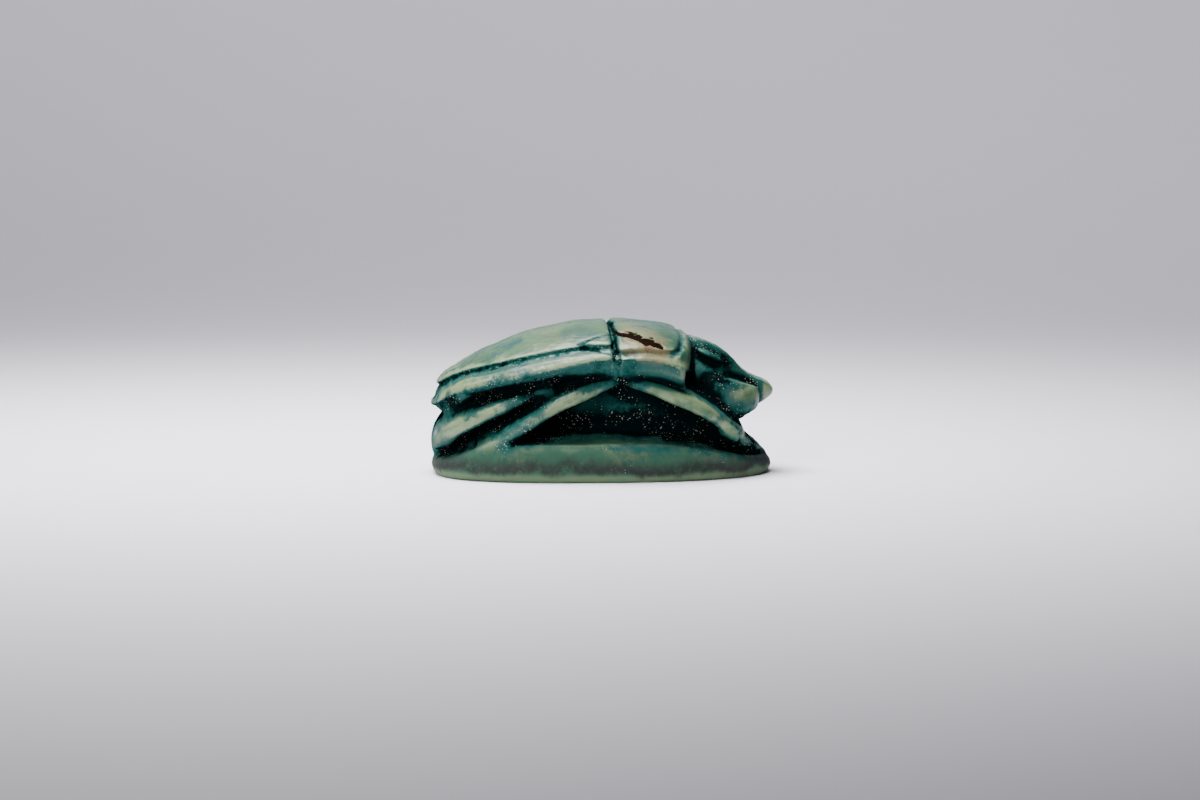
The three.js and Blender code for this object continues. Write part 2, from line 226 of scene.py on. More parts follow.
# ---- the parts of the beetle, each a field of x, the distance out from the middle, and the height
@dataclass(frozen=True)
class Plinth:
    """The oval slab that the beetle crouches on."""

    plan: Oval = Oval(8.5, 6.05, 2.1, 2.7)
    top: Profile = Profile(((-8.6, 0.85), (-7.6, 1.1), (-6.6, 1.5), (-5.6, 1.78), (-1.0, 1.84),
                            (2.5, 1.78), (5.0, 1.5), (7.0, 1.05), (8.6, 0.85)))
    foot_draw: float = 0.16
    foot_reach: float = 0.45
    waist_draw: float = 0.05
    waist_height: float = 0.95
    waist_reach: float = 0.35
    batter: float = 0.1
    batter_start: float = 1.1
    mound: float = 0.4
    mound_share: float = 0.93
    mound_run: float = 0.32
    edge_round: float = 0.5

    def field(self, x: Array, out: Array, z: Array) -> Array:
        """Gives the distance outside the slab."""
        distance, share = self.plan.measure(x, out)
        foot = self.foot_draw * bump(z / self.foot_reach)
        waist = self.waist_draw * bump((z - self.waist_height) / self.waist_reach)
        batter = self.batter * np.clip(z - self.batter_start, 0.0, 1.0)
        crown = self.top(x) + self.mound * ease(self.mound_share - share, 0.0, self.mound_run)
        return trim(distance + (foot + waist + batter), z - crown, self.edge_round)


@dataclass(frozen=True)
class Trunk:
    """The body between the legs, and the neck."""

    plan: Oval = Oval(7.1, 3.1, 2.5)
    centre: float = -0.25
    waist_height: float = 2.7
    flare: float = 0.14
    flare_limit: float = 0.8
    belly: Three = (1.6, 3.3, 0.55)
    belly_reach: tuple[float, float] = (2.2, 2.0)
    wall_overlap: float = 0.2
    base: float = 0.3
    neck: Three = (4.9, 2.7, 3.9)
    neck_rise: float = 2.4
    neck_half_length: float = 1.0
    neck_steepness: float = 2.2

    def field(self, x: Array, out: Array, z: Array, wall_foot: Array) -> Array:
        """Gives the distance outside the trunk and neck."""
        flare = np.minimum(self.flare * (z - self.waist_height) ** 2, self.flare_limit)
        belly_x, belly_z, swell = self.belly
        long, tall = self.belly_reach
        belly = swell * bump((x - belly_x) / long) * bump((z - belly_z) / tall)
        side = self.plan.measure(x - self.centre, out)[0] - flare - belly
        ends = np.maximum(z - wall_foot - self.wall_overlap, self.base - z)
        neck_x, neck_width, neck_z = self.neck
        neck = (np.hypot(out / neck_width, (z - neck_z) / self.neck_rise) - 1) * self.neck_steepness
        neck = trim(neck, np.abs(x - neck_x) - self.neck_half_length, 0.2)
        return join(trim(side, ends, 0.4), neck, 0.15)


@dataclass(frozen=True)
class Back:
    """The domed wing cases and collar, down to the rim where they turn under."""

    ridge: Profile = Profile(((-8.6, 4.0), (-8.35, 4.35), (-7.9, 4.95), (-7.0, 5.55), (-5.9, 6.12),
                              (-4.1, 6.87), (-2.1, 7.36), (0.1, 7.6), (1.5, 7.57), (2.8, 7.42),
                              (4.0, 7.05), (4.6, 6.7)))
    rim: Profile = Profile(((-8.6, 3.4), (-8.3, 3.65), (-7.5, 4.2), (-6.0, 4.7), (-3.6, 5.28),
                            (-1.5, 5.8), (0.2, 6.0), (2.2, 5.9), (3.6, 5.6), (4.6, 5.2)))
    middle: float = 0.6
    reach_back: float = 9.1
    reach_front: float = 7.4
    half_width: float = 5.55
    front_narrowing: float = 0.55
    rim_thickness: Profile = Profile(((-8.5, 0.8), (-3.0, 0.8), (-1.0, 0.65), (0.5, 0.5), (4.0, 0.5)))
    neckline: float = 4.45
    neckline_curve: float = 0.035
    back_power: float = 2.1
    front_power: float = 2.3
    side_power: float = 2.5
    crown_power: float = 1.35

    def level(self, x: Array, out: Array, z: Array) -> Array:
        """Gives a number that is 1 on the dome's surface and less inside it."""
        edge = self.rim(x)
        offset = np.abs(x - self.middle)
        along = np.where(x < self.middle, (offset / self.reach_back) ** self.back_power,
                         (offset / self.reach_front) ** self.front_power)
        width = self.half_width - self.front_narrowing * ease(x, 1.5, 4.5)
        height = np.maximum(self.ridge(x) - edge, 0.25)
        height = height / np.maximum(1 - along, 0.06) ** (1 / self.crown_power)
        above = (np.maximum(z - edge, 0.0) / height) ** self.crown_power
        below = (np.maximum(edge - z, 0.0) / self.rim_thickness(x)) ** 2
        return along + (out / width) ** self.side_power + above + below

    def field(self, x: Array, out: Array, z: Array) -> Array:
        """Gives the distance outside the dome."""
        step = 0.01
        here = self.level(x, out, z)
        slope = np.sqrt((self.level(x + step, out, z) - here) ** 2
                        + (self.level(x, out + step, z) - here) ** 2
                        + (self.level(x, out, z + step) - here) ** 2) / step
        front = x - (self.neckline - self.neckline_curve * out * out)
        return trim((here - 1) / (slope + 0.05), front, 0.5)


@dataclass(frozen=True)
class CutLines:
    """The lines cut into the back: the divide, the borders and the shoulder marks."""

    divide_x: float = 0.32
    divide_half_width: float = 0.26
    divide_depth: float = 0.3
    divide_low_depth: float = 0.12
    divide_lean: float = 0.12
    wing_border: Line = Line(((-8.35, 3.8), (-8.15, 4.25), (-7.4, 4.83), (-6.0, 5.33), (-3.6, 5.95),
                              (-1.4, 6.36), (0.2, 6.47)), 3)
    collar_border: Line = Line(((0.4, 6.22), (1.7, 6.24), (2.7, 6.18), (3.3, 6.18), (3.65, 6.5),
                                (3.95, 7.5)), 3)
    border_half_width: float = 0.25
    border_depth: float = 0.15
    shoulder: Line = Line(((0.1, 3.75), (-1.35, 4.35), (0.1, 5.25)))
    shoulder_half_width: float = 0.18
    shoulder_depth: float = 0.11
    suture_half_width: float = 0.12
    suture_depth: float = 0.07

    def lines(self, x: Array, out: Array, z: Array) -> tuple[Array, ...]:
        """Gives 1 on the divide, borders, shoulder mark and middle seam, and 0 beside each."""
        lean = self.divide_lean * ease(6.8 - z, 0.0, 1.5)
        divide = bump((x - self.divide_x - lean) / self.divide_half_width)
        wing = self.wing_border.mark(x, z, self.border_half_width)
        collar = self.collar_border.mark(x, z, self.border_half_width) * (1 - 0.5 * ease(z, 6.6, 7.2))
        border = np.where(x < self.divide_x, wing, collar)
        on_case = (z > 5.8) & (x < self.divide_x)
        shoulder = self.shoulder.mark(x, out, self.shoulder_half_width) * on_case
        on_top = (x < self.divide_x) & (z > 4.3)
        suture = bump(out / self.suture_half_width) * on_top
        return divide, border, shoulder, suture

    def depth(self, x: Array, out: Array, z: Array) -> Array:
        """Gives how deep the lines are cut at each place."""
        divide, border, shoulder, suture = self.lines(x, out, z)
        low = ease(6.6 - z, 0.0, 1.2)
        depth = (self.divide_depth + self.divide_low_depth * low) * divide + self.border_depth * border
        return depth + self.shoulder_depth * shoulder + self.suture_depth * suture

    def marks(self, x: Array, out: Array, z: Array) -> Array:
        """Gives how strongly the lines hold dark glaze."""
        divide, border, shoulder, suture = self.lines(x, out, z)
        strengths = [0.7 * divide, 0.5 * border ** 1.5, 0.5 * shoulder ** 1.5, 0.3 * suture]
        return np.maximum.reduce(strengths)


@dataclass(frozen=True)
class SideWall:
    """The hollow wall under the rim, down to where the legs begin."""

    foot: Profile = Profile(((-8.6, 3.2), (-8.2, 3.15), (-7.4, 2.9), (-6.7, 3.4), (-6.0, 3.9),
                             (-3.4, 4.4), (-1.7, 4.8), (0.2, 4.9), (2.2, 4.85), (3.6, 4.3), (4.8, 4.0)))
    plan: Oval = Oval(8.5, 5.3, 2.4)
    centre: float = 0.22
    hollow: Profile = Profile(((-8.5, 0.1), (-7.6, 0.3), (-6.8, 1.2), (-3.0, 1.4), (-1.0, 0.9),
                               (1.0, 0.7), (4.0, 0.9)))
    hollow_power: float = 1.9
    front: float = 3.8

    def field(self, x: Array, out: Array, z: Array, rim: Array) -> Array:
        """Gives the distance outside the wall."""
        low = self.foot(x)
        drop = np.clip((rim - z) / (rim - low), 0.0, 1.0)
        wall = self.plan.measure(x - self.centre, out)[0] + self.hollow(x) * drop ** self.hollow_power
        wall = trim(wall, low - z, 0.25)
        wall = trim(wall, z - rim, 0.2)
        return trim(wall, x - self.front, 0.4)


class LegName(Enum):
    """The legs on one side, and the shin that the foreleg folds into."""

    HIND = "hind"
    MIDDLE = "middle"
    FORE = "fore"
    SHIN = "shin"


@dataclass(frozen=True)
class Leg:
    """A leg in relief, rising inwards; a station is (along, up, out, radius)."""

    name: LegName
    line: Line
    lean: float = 0.4
    reach: float = 1.8

    def box(self) -> tuple[Array, Array]:
        """Gives the corners of a box that holds the leg."""
        rows = np.array(self.line.stations)
        x, z, out, radius = rows.T[:4]
        low = np.array([(x - radius).min(), (out - self.reach).min() - 0.9, (z - radius).min()])
        high = np.array([(x + radius).max(), out.max(), (z + radius).max() + self.lean * self.reach])
        return low, high

    def field(self, x: Array, out: Array, z: Array) -> Array:
        """Gives the distance outside the leg."""
        limit = self.line.nearest(x, z)[1][..., 0]
        rise = self.lean * np.clip(limit - 0.3 - out, 0.0, self.reach)
        squared, carried = self.line.nearest(x, z - rise)
        limit, radius = carried[..., 0], carried[..., 1]
        beyond = out - (limit - radius)
        gap = np.maximum(beyond, 0.0) ** 2 + np.maximum(-beyond - self.reach, 0.0) ** 2
        return (np.sqrt(squared + gap) - radius) / math.sqrt(1 + 0.5 * self.lean ** 2)


LEGS = (
    Leg(LegName.HIND, Line(((-2.8, 4.5, 4.5, 0.26), (-3.95, 4.1, 4.75, 0.3), (-5.0, 3.65, 4.75, 0.31),
                            (-5.85, 3.25, 4.55, 0.32), (-6.7, 2.8, 4.2, 0.33), (-7.4, 2.4, 3.7, 0.35),
                            (-7.9, 1.8, 2.9, 0.4), (-8.05, 1.2, 1.1, 0.43)), 4), 0.3),
    Leg(LegName.MIDDLE, Line(((0.4, 4.95, 4.95, 0.28), (-0.5, 4.6, 5.2, 0.32), (-1.5, 4.2, 5.45, 0.34),
                              (-2.5, 3.75, 5.5, 0.34), (-4.2, 2.65, 5.5, 0.32), (-5.2, 2.05, 5.3, 0.29),
                              (-6.1, 1.5, 4.95, 0.22)), 4), 0.3),
    Leg(LegName.FORE, Line(((1.0, 4.9, 4.8, 0.28), (1.9, 4.62, 5.05, 0.33), (2.9, 4.25, 5.15, 0.36),
                            (4.35, 3.58, 5.0, 0.36), (5.5, 2.9, 4.6, 0.35),
                            (6.4, 2.15, 4.0, 0.35)), 4), 0.2),
    Leg(LegName.SHIN, Line(((5.9, 2.35, 4.0, 0.34), (6.6, 1.9, 3.4, 0.37), (7.2, 1.45, 2.6, 0.37),
                            (7.6, 1.1, 1.6, 0.37), (7.8, 0.9, 0.5, 0.37)), 4), 0.0, 1.3),
)


@dataclass(frozen=True)
class Head:
    """The head: a middle plate with a rounded nose, sloping sides, eyes and cheeks."""

    back: float = 4.3
    top: Profile = Profile(((4.6, 6.75), (5.5, 6.4), (6.3, 5.92), (7.0, 5.2), (7.5, 4.84), (8.3, 4.47),
                            (8.8, 4.0)))
    chin: Profile = Profile(((4.6, 2.6), (6.4, 2.7), (7.0, 3.0), (7.5, 3.27), (8.0, 3.52), (8.6, 3.85),
                             (9.0, 4.0)))
    plate: Profile = Profile(((4.6, 1.75), (5.5, 1.6), (6.5, 1.35), (7.3, 1.35), (8.0, 1.4), (8.6, 0.9)))
    nose: Three = (7.35, 1.27, 1.6)
    eye_place: Three = (5.2, 1.95, 5.88)
    eye_size: Three = (0.62, 0.5, 0.24)
    eye_lean: float = 0.45
    skull_width: float = 2.75
    skull_front: float = 7.2
    box: Points = ((4.2, 0.0, 2.4), (8.7, 3.6, 6.9))
    cheek_back: float = 5.0
    cheek_front: float = 7.8
    cheek_top: Profile = Profile(((5.0, 5.05), (5.6, 4.95), (6.9, 4.58), (7.6, 4.32), (7.9, 4.15)))
    cheek_out: Profile = Profile(((5.0, 3.35), (6.0, 3.4), (6.8, 3.1), (7.4, 2.6), (7.8, 1.9)))
    cheek_foot: Profile = Profile(((5.0, 2.4), (6.4, 2.75), (7.0, 3.05), (7.9, 3.5)))

    def field(self, x: Array, out: Array, z: Array) -> Array:
        """Gives the distance outside the head."""
        top = self.top(x)
        underside = (self.chin(x) - z) * 0.85
        start, length, width = self.nose
        nose = np.hypot(np.maximum(x - start, 0.0) / length, out / width) - 1
        plate = trim((z - top + 0.05 * (out / 1.5) ** 2) * 0.75, (out - self.plate(x)) * 0.95, 0.2)
        plate = trim(trim(plate, underside, 0.3), nose * 1.1, 0.3)

        skull_top = top - 0.45 - 0.85 * ease(x, 5.2, 6.8) - 0.55 * np.maximum(out - 1.2, 0.0)
        skull = trim((z - skull_top) * 0.8, out - self.skull_width, 0.5)
        skull = trim(trim(skull, underside, 0.3), x - self.skull_front, 0.5)

        eye_x, eye_y, eye_z = self.eye_place
        long, wide, high = self.eye_size
        eye = np.sqrt(((x - eye_x) / long) ** 2 + ((out - eye_y) / wide) ** 2
                      + ((z + self.eye_lean * (x - eye_x) - eye_z) / high) ** 2)

        cheek = trim((z - self.cheek_top(x)) * 0.95, (out - self.cheek_out(x)) * 0.85, 0.5)
        cheek = trim(cheek, (self.cheek_foot(x) - z) * 0.85, 0.35)
        cheek = trim(trim(cheek, x - self.cheek_front, 0.4), self.cheek_back - x, 0.4)

        head = join(join(join(plate, skull, 0.15), (eye - 1) * 0.38, 0.25), cheek, 0.1)
        return trim(head, self.back - x, 0.2)


@dataclass(frozen=True)
class Carving:
    """The whole beetle on its slab, drilled lengthwise and cut flat below."""

    plinth: Plinth = Plinth()
    trunk: Trunk = Trunk()
    back: Back = Back()
    cuts: CutLines = CutLines()
    wall: SideWall = SideWall()
    legs: tuple[Leg, ...] = LEGS
    head: Head = Head()
    bore_radius: float = 0.62
    bore_height: float = 2.75
    trunk_blend: float = 0.5
    leg_blend: float = 0.4
    blend: float = 0.3
    fine_blend: float = 0.12
    far: float = 9.0

    def field(self, x: Array, y: Array, z: Array) -> Array:
        """Gives the distance outside the carved stone."""
        out = np.abs(y)
        trunk = self.trunk.field(x, out, z, self.wall.foot(x))
        body = join(trunk, self.plinth.field(x, out, z), self.trunk_blend)
        body = join(body, self.wall.field(x, out, z, self.back.rim(x)), self.blend)
        limbs = np.full(x.shape, self.far)
        for leg in self.legs:
            limbs = join(limbs, near_only(leg.field, *leg.box(), x, out, z), self.leg_blend)
        shell = self.back.field(x, out, z) + self.cuts.depth(x, out, z)
        head = near_only(self.head.field, *self.head.box, x, out, z)
        whole = join(join(body, limbs, self.blend), shell, self.blend)
        whole = join(whole, head, self.fine_blend)
        bore = np.hypot(y, z - self.bore_height) - self.bore_radius
        return trim(trim(whole, -bore, self.fine_blend), -z, self.fine_blend)

    def slope(self, points: Array, step: float = 0.02) -> tuple[Array, Array]:
        """Gives the field and its slope at each point.

        Args:
            points: Rows of x, y and z.
            step: How far the slope is measured over.

        Returns:
            The field's values and the rows of its slope.
        """
        here = self.field(*points.T)
        rows = [self.field(*(points + step * axis).T) - here for axis in np.eye(3)]
        return here, np.stack(rows, axis=1) / step


# ---- from the field to a mesh
@dataclass(frozen=True)
class SurfaceMaker:
    """Lays a point in each small cell that the surface crosses, and joins them with four-sided faces."""

    cell: float = 0.108
    coarse: int = 3
    pinch_passes: int = 4
    settle_passes: int = 3
    settle_share: float = 0.85
    low: Three = (-9.0, -6.5, -0.4)
    high: Three = (9.0, 6.5, 8.0)

    def sample(self, carving: Carving) -> tuple[Array, list[Array]]:
        """Samples the field on a grid, finely only near the surface.

        Args:
            carving: The field to sample.

        Returns:
            The values, and the grid's coordinates along each axis.
        """
        block = self.cell * self.coarse
        counts = [math.ceil((b - a) / block) for a, b in zip(self.low, self.high)]
        rough_axes = [a + block * (np.arange(n) + 0.5) for a, n in zip(self.low, counts)]
        rough = np.stack(np.meshgrid(*rough_axes, indexing="ij"), axis=-1).reshape(-1, 3)
        values = carving.field(*rough.T).reshape(counts)
        axes = [a + self.cell * (np.arange(n * self.coarse) + 0.5) for a, n in zip(self.low, counts)]
        fine = np.repeat(np.repeat(np.repeat(values, self.coarse, 0), self.coarse, 1), self.coarse, 2)
        near = np.argwhere(np.abs(fine) < 1.6 * block)
        places = np.stack([axis[near[:, i]] for i, axis in enumerate(axes)], axis=1)
        fine[tuple(near.T)] = carving.field(*places.T)
        return fine, axes

    @staticmethod
    def slab(values: Array, axes: Sequence[int], shifts: Sequence[int]) -> Array:
        """Views a grid one step shorter along some axes, shifted by 0 or 1 along each."""
        cut = [slice(None)] * 3
        for axis, shift in zip(axes, shifts):
            cut[axis] = slice(shift, values.shape[axis] - 1 + shift)
        return values[tuple(cut)]

    def fill_pinches(self, values: Array) -> None:
        """Fills gaps thinner than a cell, where only opposite corners of a cell's face lie inside."""
        around = ((0, 0), (1, 0), (1, 1), (0, 1))
        for _ in range(self.pinch_passes):
            for axes in ((0, 1), (1, 2), (2, 0)):
                a, b, c, d = (self.slab(values, axes, shifts) < 0 for shifts in around)
                pinched = (a == c) & (b == d) & (a != b)
                for inside, shifts in ((b, (0, 0)), (a, (1, 0))):
                    self.slab(values, axes, shifts)[pinched & inside] = -0.2 * self.cell

    def mesh(self, carving: Carving) -> tuple[Array, Array]:
        """Makes the surface.

        Args:
            carving: The field whose zero is the surface.

        Returns:
            Rows of x, y and z for the points, and rows of four point numbers for the faces.
        """
        values, axes = self.sample(carving)
        self.fill_pinches(values)
        cells = tuple(n - 1 for n in values.shape)
        total = np.zeros(cells + (3,), dtype=np.float32)
        hits = np.zeros(cells, dtype=np.int8)
        crossings = []
        for axis in range(3):
            a, b = (self.slab(values, (axis,), (shift,)) for shift in (0, 1))
            edges = np.argwhere((a < 0) != (b < 0))
            at = tuple(edges.T)
            place = edges.astype(np.float32)
            place[:, axis] += a[at] / (a[at] - b[at])
            across = [(axis + 1) % 3, (axis + 2) % 3]
            inner = np.all((edges[:, across] > 0) & (edges[:, across] < np.array(cells)[across]), axis=1)
            ring = []
            for du, dv in ((1, 1), (1, 0), (0, 0), (0, 1)):
                spot = edges.copy()
                spot[:, across[0]] -= du
                spot[:, across[1]] -= dv
                kept = spot[inner]
                np.add.at(total, tuple(kept.T), place[inner])
                np.add.at(hits, tuple(kept.T), 1)
                ring.append(kept)
            inside_first = (a[at] < 0)[inner]
            crossings.append((ring, inside_first))
        used = hits > 0
        number = np.full(cells, -1, dtype=np.int64)
        number[used] = np.arange(int(used.sum()))
        places = total[used] / hits[used][:, None]
        starts = np.argwhere(used)
        faces = []
        for ring, inside_first in crossings:
            quad = np.stack([number[tuple(spot.T)] for spot in ring], axis=1)
            quad[~inside_first] = quad[~inside_first][:, ::-1]
            faces.append(quad)
        origin = np.array([axis[0] for axis in axes])
        points = origin + places * self.cell
        lowest = origin + starts * self.cell
        return self.settle(carving, points, lowest), np.concatenate(faces)

    def settle(self, carving: Carving, points: Array, lowest: Array) -> Array:
        """Slides the points onto the surface, each within its own cell."""
        for _ in range(self.settle_passes):
            here, slope = carving.slope(points)
            steep = np.maximum((slope ** 2).sum(axis=1), 0.2)
            points = points - self.settle_share * slope * (here / steep)[:, None]
            points = np.clip(points, lowest, lowest + self.cell)
        return points


# ---- irregular patterns that repeat exactly from run to run
@dataclass(frozen=True)
class Ripple:
    """A smooth random field made of waves in many directions."""

    seed: int
    wavelength: float
    waves: int = 18

    def __call__(self, points: Array) -> Array:
        """Gives a value near -1 to 1 at each point."""
        draw = np.random.default_rng(self.seed)
        direction = draw.normal(size=(self.waves, 3))
        direction /= np.linalg.norm(direction, axis=1, keepdims=True)
        pace = 2 * math.pi / self.wavelength * draw.uniform(0.6, 1.7, self.waves)
        phase = draw.uniform(0, 2 * math.pi, self.waves)
        value = np.zeros(len(points))
        for line, speed, start in zip(direction, pace, phase):
            value += np.sin(points @ line * speed + start)
        return value / math.sqrt(self.waves)


@dataclass(frozen=True)
class WearAndShade:
    """What use and burial did to the surface, how thickly the glaze lies on it, and where painted shade
    darkens it in hollows, under the rim and low on the cheeks.
    """

    crack: Line = Line(((0.41, 7.15), (1.18, 7.05), (1.6, 6.92), (1.82, 6.76), (2.08, 6.79),
                        (2.32, 6.68), (2.7, 6.5)))
    crack_half_width: float = 0.23
    crack_depth: float = 0.14
    crack_middle: float = 1.7
    crack_reach: float = 1.6
    crack_tip: float = 0.3
    crack_raggedness: float = 0.4
    stain_reach: float = 0.95
    stain_drop: float = 0.2
    outline: Oval = Oval(8.4, 5.5, 2.3)
    toes: tuple[Line, ...] = (Line(((6.15, 2.75), (7.13, 1.92), (7.9, 1.43))),
                              Line(((6.5, 2.2), (6.62, 1.6))), Line(((7.3, 1.8), (7.45, 1.2))))
    toe_half_width: float = 0.15
    toe_depth: float = 0.05
    toe_glaze: float = 0.8
    # Strengths of the painted shade, with thicker glaze, under the rim, of the thicker glaze over the
    # eyes, and of the painted shade low on the cheeks.
    under_rim_glaze_and_shade: float = 0.24
    eye_glaze: float = 0.42
    low_cheek_shade: float = 0.35
    # eye_lift lightens the hollow's painted shade over the eyes.
    eye_lift: float = 0.6
    exposure: float = 0.17
    exposed_reach: float = 1.5
    wobble: float = 0.03
    grain: float = 0.008
    looks: tuple[float, ...] = (0.15, 0.35, 0.8, 1.6)
    ridge_looks: tuple[float, ...] = (0.15, 0.3, 0.55)

    def hollow(self, carving: Carving, points: Array, normals: Array) -> Array:
        """Gives 0 in the open to 1 deep in a hollow, for thicker glaze and painted shade there."""
        # How shut in each point is, looking out along its normal; the glaze paints shade from it.
        shut = np.zeros(len(points))
        for reach in self.looks:
            away = points + normals * reach
            free = carving.field(*away.T)
            shut += np.clip((reach - free) / reach, 0.0, 1.0)
        return shut / len(self.looks) * (1 - self.eye_lift * self.eye_mark(points))

    def thickness(self, carving: Carving, points: Array) -> Array:
        """Gives how thickly the glaze lies over the eyes and under the rim, with painted shade under the
        rim and low on the cheeks.
        """
        x, out, z = points[:, 0], np.abs(points[:, 1]), points[:, 2]
        inside = -self.outline.measure(x, out)[0]
        between = ease(z, 1.1, 1.9) * ease(carving.back.rim(x) - z, -0.1, 0.5)
        # Painted shade low on the cheeks.
        cheeks = bump(np.hypot((x - 6.6) / 1.7, (z - 3.1) / 0.9))
        # Thicker glaze and painted shade in the recess under the rim.
        rim = self.under_rim_glaze_and_shade * np.clip(inside, 0.0, 4.0) * between
        return rim + self.eye_glaze * self.eye_mark(points) + self.low_cheek_shade * cheeks

    def eye_mark(self, points: Array) -> Array:
        """Gives 1 in the middle of each eye, falling to 0 round it."""
        x, z = points[:, 0], points[:, 2]
        return bump(np.hypot((x - 5.5) / 1.5, (z - 5.7) / 1.25)) * ease(x, 4.3, 4.8)

    def toe_mark(self, points: Array) -> Array:
        """Gives 1 in the fine lines cut between the toes, falling to 0 beside them."""
        x, out, z = points[:, 0], np.abs(points[:, 1]), points[:, 2]
        marks = [toe.mark(x, z, self.toe_half_width) for toe in self.toes]
        return np.maximum.reduce(marks) * ease(out, 1.4, 1.9)

    def cut_mark(self, carving: Carving, points: Array) -> Array:
        """Gives how strongly the cut lines of the back and toes hold dark glaze."""
        x, out, z = points[:, 0], np.abs(points[:, 1]), points[:, 2]
        on_back = bump(carving.back.field(x, out, z) / 0.8)
        back = carving.cuts.marks(x, out, z) * on_back
        return np.maximum(back, self.toe_glaze * self.toe_mark(points))

    def proud(self, carving: Carving, points: Array, normals: Array) -> Array:
        """Gives 0 on flat or hollow places to 1 on sharp ridges, and more on the legs' outer faces."""
        x, out, z = points[:, 0], np.abs(points[:, 1]), points[:, 2]
        edge = np.zeros(len(points))
        for reach in self.ridge_looks:
            inward = points - normals * reach
            edge += np.clip((reach + carving.field(*inward.T)) / reach, 0.0, 1.0)
        inside = np.clip(-self.outline.measure(x, out)[0], 0.0, None)
        exposed = bump(inside / self.exposed_reach) * ease(z, 1.6, 2.2)
        return edge / len(self.ridge_looks) + self.exposure * exposed

    def crack_mark(self, points: Array) -> Array:
        """Gives 1 in the crack on the right side of the collar, falling to 0 beside it."""
        x, y, z = points.T
        ragged = 1 + self.crack_raggedness * Ripple(11, 0.45)(points)
        taper = self.crack_tip + (1 - self.crack_tip) * bump((x - self.crack_middle) / self.crack_reach)
        near = np.sqrt(self.crack.nearest(x, z)[0]) / (self.crack_half_width * ragged * taper)
        return bump(near) * (y < 0)

    def stain_mark(self, points: Array) -> Array:
        """Gives how near the crack each place is, for the stained glaze round it."""
        x, y, z = points.T
        near = np.sqrt(self.crack.nearest(x, z + self.stain_drop)[0]) / self.stain_reach
        return bump(near) * ease(x, 0.5, 0.9) * (y < 0)

    def relief(self, points: Array) -> Array:
        """Gives how far the worn surface stands out from the carved one."""
        worn = self.wobble * Ripple(3, 3.2)(points) + self.grain * Ripple(5, 0.45)(points)
        worn = worn * ease(points[:, 2], 0.02, 0.6) - self.crack_depth * self.crack_mark(points)
        return worn - self.toe_depth * self.toe_mark(points)


# ---- meshes
def mesh_object(name: str, points: Array, faces: Array) -> bpy.types.Object:
    """Makes a smooth-shaded mesh object from rows of points and faces, in metres."""
    mesh = bpy.data.meshes.new(name)
    mesh.from_pydata(points.tolist(), [], faces.tolist())
    mesh.update()
    mesh.polygons.foreach_set("use_smooth", np.ones(len(faces), dtype=bool))
    obj = bpy.data.objects.new(name, mesh)
    bpy.context.scene.collection.objects.link(obj)
    return obj


def store(obj: bpy.types.Object, name: str, values: Array) -> None:
    """Keeps one number for each point of a mesh, for its material to read."""
    attribute = obj.data.attributes.new(name, "FLOAT", "POINT")
    attribute.data.foreach_set("value", values.astype(np.float32))


# ---- finishes
Colour = Three
Span = tuple[float, float]
Socket = bpy.types.NodeSocket


@dataclass(frozen=True)
class Cloud:
    """Cloudy noise: blobs to the metre, how many finer layers, and how strong those are."""

    scale: float
    detail: float = 4.0
    rough: float = 0.6


@dataclass(frozen=True)
class Patches:
    """Soft patches: their noise, where in it they start and are full, and their strength."""

    cloud: Cloud
    span: Span
    strength: float = 1.0


